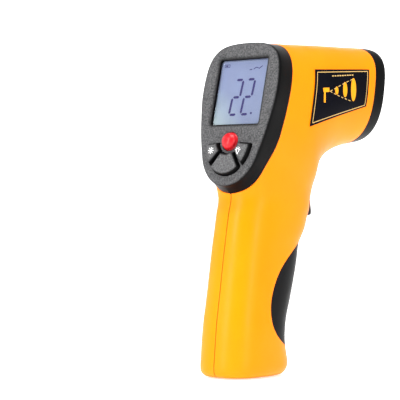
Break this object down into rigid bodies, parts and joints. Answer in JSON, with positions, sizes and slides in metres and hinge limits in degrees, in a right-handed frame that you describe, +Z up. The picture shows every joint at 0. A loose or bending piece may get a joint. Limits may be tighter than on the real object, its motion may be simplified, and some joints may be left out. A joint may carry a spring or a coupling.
{
  "type": "infrared thermometer",
  "caption": "Pistol-grip non-contact infrared thermometer with tilted display, key pad, aiming laser, pull trigger and battery door in the handle.",
  "frame": {"origin": "centre of the bounding box at the bottom of the handle", "axes": "+Z up, +Y the way the nose aims, +X to the user's right"},
  "size_m": [0.042, 0.1042, 0.1475],
  "materials": {
    "case": "satin moulded yellow-orange ABS",
    "bezel": "fine spark-textured black ABS",
    "window": "clear moulded acrylic window over a pale display",
    "lcd": "liquid-crystal cell",
    "backlight": "light guide",
    "strip": "elastomer strip",
    "board": "green printed circuit board",
    "chip": "epoxy package",
    "key_rubber": "matt dark rubber",
    "red_key": "satin red rubber",
    "mat": "grey silicone mat",
    "optic_tube": "black, blasted inside",
    "ir_lens": "dark infrared lens",
    "steel": "plated steel",
    "brass": "turned brass",
    "laser_lens": "small plastic lens",
    "label": "printed foil label, satin",
    "trigger": "black moulded plastic",
    "door": "soft black plastic",
    "tab": "grey moulded plastic",
    "tray": "black plastic",
    "cell": "wrapped battery",
    "wire": "insulated wire"
  },
  "bodies": {
    "case": {"right_shell": "case", "left_shell": "case", "rear_bezel": "bezel", "nose_bezel": "bezel", "lcd_window": "window", "lcd_glass": "lcd", "backlight": "backlight", "lcd_strip": "strip", "main_board": "board", "control_chip": "chip", "key_mat": "mat", "lens_tube": "optic_tube", "ir_lens": "ir_lens", "thermopile": "steel", "sensor_board": "board", "laser_barrel": "brass", "laser_lens": "laser_lens", "label_right": "label", "label_left": "label", "trigger_pin": "steel", "trigger_switch": "chip", "battery_tray": "tray", "cell_left": "cell", "cell_right": "cell", "contact_spring_lower": "steel", "contact_spring_upper": "steel", "contact_plate_lower": "steel", "contact_plate_upper": "steel", "case_screw_front": "steel", "case_screw_rear": "steel", "battery_wire_red": "wire", "battery_wire_black": "wire", "sensor_wire": "wire", "laser_wire": "wire", "switch_wire": "wire"},
    "red_key": {"red_key": "red_key"},
    "laser_key": {"laser_key": "key_rubber"},
    "light_key": {"light_key": "key_rubber"},
    "mode_key": {"mode_key": "key_rubber"},
    "trigger": {"trigger": "trigger", "trigger_spring": "steel"},
    "plunger": {"switch_plunger": "chip"},
    "door": {"battery_door": "door", "door_tab": "tab", "door_pin": "steel"}
  },
  "joints": [
    {"name": "red_key_press", "type": "slide", "parent": "case", "child": "red_key", "axis": [0, 0.9711, -0.2385], "range_m": [0, 0.0008], "stiffness_N_per_m": 400},
    {"name": "laser_key_press", "type": "slide", "parent": "case", "child": "laser_key", "axis": [0, 0.9711, -0.2385], "range_m": [0, 0.0008], "stiffness_N_per_m": 400},
    {"name": "light_key_press", "type": "slide", "parent": "case", "child": "light_key", "axis": [0, 0.9711, -0.2385], "range_m": [0, 0.0008], "stiffness_N_per_m": 400},
    {"name": "mode_key_press", "type": "slide", "parent": "case", "child": "mode_key", "axis": [0, 0.9711, -0.2385], "range_m": [0, 0.0008], "stiffness_N_per_m": 400},
    {"name": "trigger_pull", "type": "hinge", "parent": "case", "child": "trigger", "pos_m": [0, 0.0035, 0.086], "axis": [-1, 0, 0], "range_deg": [0, 7.5], "stiffness_Nm_per_rad": 0.3, "springref_deg": -14.32},
    {"name": "switch_press", "type": "slide", "parent": "case", "child": "plunger", "axis": [0, -1, 0], "range_m": [0, 0.0015]},
    {"name": "door_hinge", "type": "hinge", "parent": "case", "child": "door", "pos_m": [0, -0.0052, 0.0576], "axis": [1, 0, 0], "range_deg": [0, 50]}
  ],
  "couplings": [
    {"joint": "switch_press", "follows": "trigger_pull", "m_per_rad": 0.011}
  ]
}
